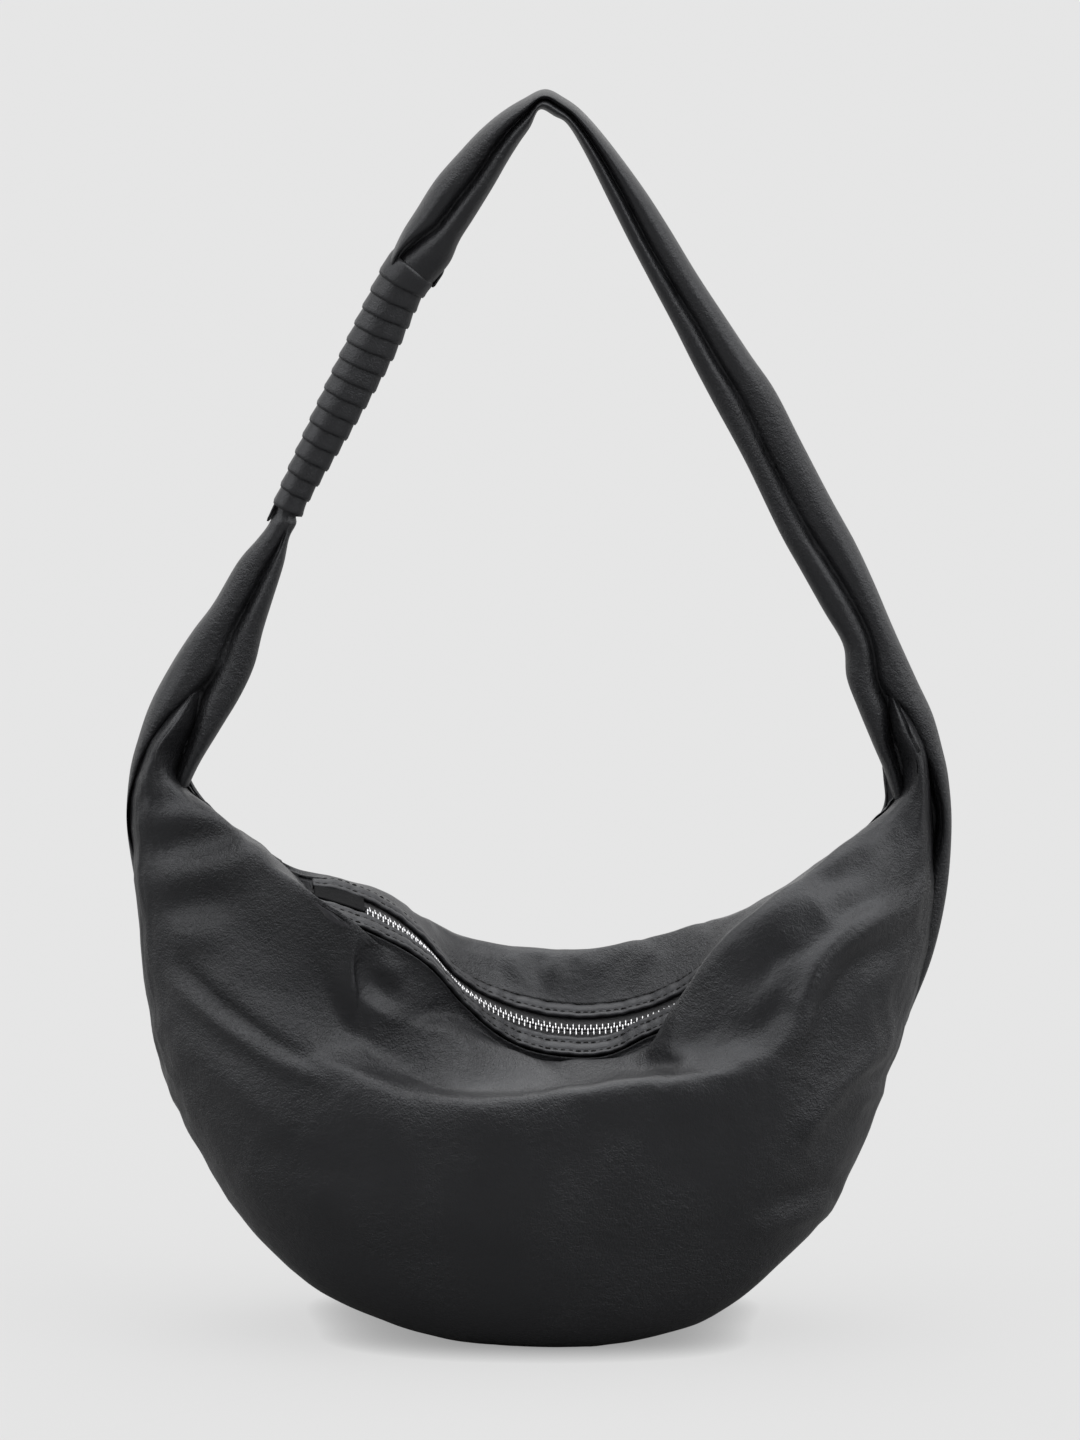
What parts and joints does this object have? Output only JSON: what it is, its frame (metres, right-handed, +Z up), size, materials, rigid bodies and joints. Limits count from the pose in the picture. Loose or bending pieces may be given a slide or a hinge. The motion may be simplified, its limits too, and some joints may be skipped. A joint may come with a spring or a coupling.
{
  "type": "hobo bag",
  "caption": "Slouchy crescent shoulder bag in soft leather, with a dipped zip top, a lining and a folded strap with a laced grip.",
  "frame": {"origin": "middle of the bag's bounding box, on the floor that it rests on", "axes": "+X to the right seen from the front, +Y towards the back panel, +Z up to the top of the strap"},
  "size_m": [0.3434, 0.1326, 0.5233],
  "materials": {
    "leather": "satin",
    "facing_leather": "satin",
    "lining": "matte",
    "zip_tape": "matte",
    "zip_metal": "polished"
  },
  "bodies": {
    "bag": {"front_panel": "leather", "back_panel": "leather", "lining_front": "lining", "lining_back": "lining", "slip_pocket": "lining", "seam_binding": "zip_tape", "zip_facing_front": "facing_leather", "zip_tape_front": "zip_tape", "zip_teeth_front": "zip_metal", "zip_facing_back": "facing_leather", "zip_tape_back": "zip_tape", "zip_teeth_back": "zip_metal", "zip_top_stop_front": "zip_metal", "zip_top_stop_back": "zip_metal", "zip_bottom_stop": "zip_metal", "zip_end_tab_left": "facing_leather", "zip_end_tab_right": "facing_leather", "strap_root_left": "leather", "strap_root_right": "leather"},
    "strap": {"strap_leather": "leather", "strap_tape": "zip_tape", "strap_wrap": "leather"},
    "slider": {"zip_slider": "zip_metal"},
    "puller": {"zip_puller": "zip_metal"}
  },
  "joints": [
    {"name": "strap_fold", "type": "hinge", "parent": "bag", "child": "strap", "pos_m": [0, 0.00192, 0.27], "axis": [1, 0, 0], "range_deg": [-120, 120]},
    {"name": "zip_travel", "type": "hinge", "parent": "bag", "child": "slider", "pos_m": [0.01831, -0.02615, 0.1869], "axis": [0, 0.8788, 0.4772], "range_deg": [0, 108]},
    {"name": "puller_swing", "type": "hinge", "parent": "slider", "child": "puller", "pos_m": [0.07006, -0.00754, 0.15263], "axis": [0, 0.8788, 0.4772], "range_deg": [-160, 0]}
  ]
}
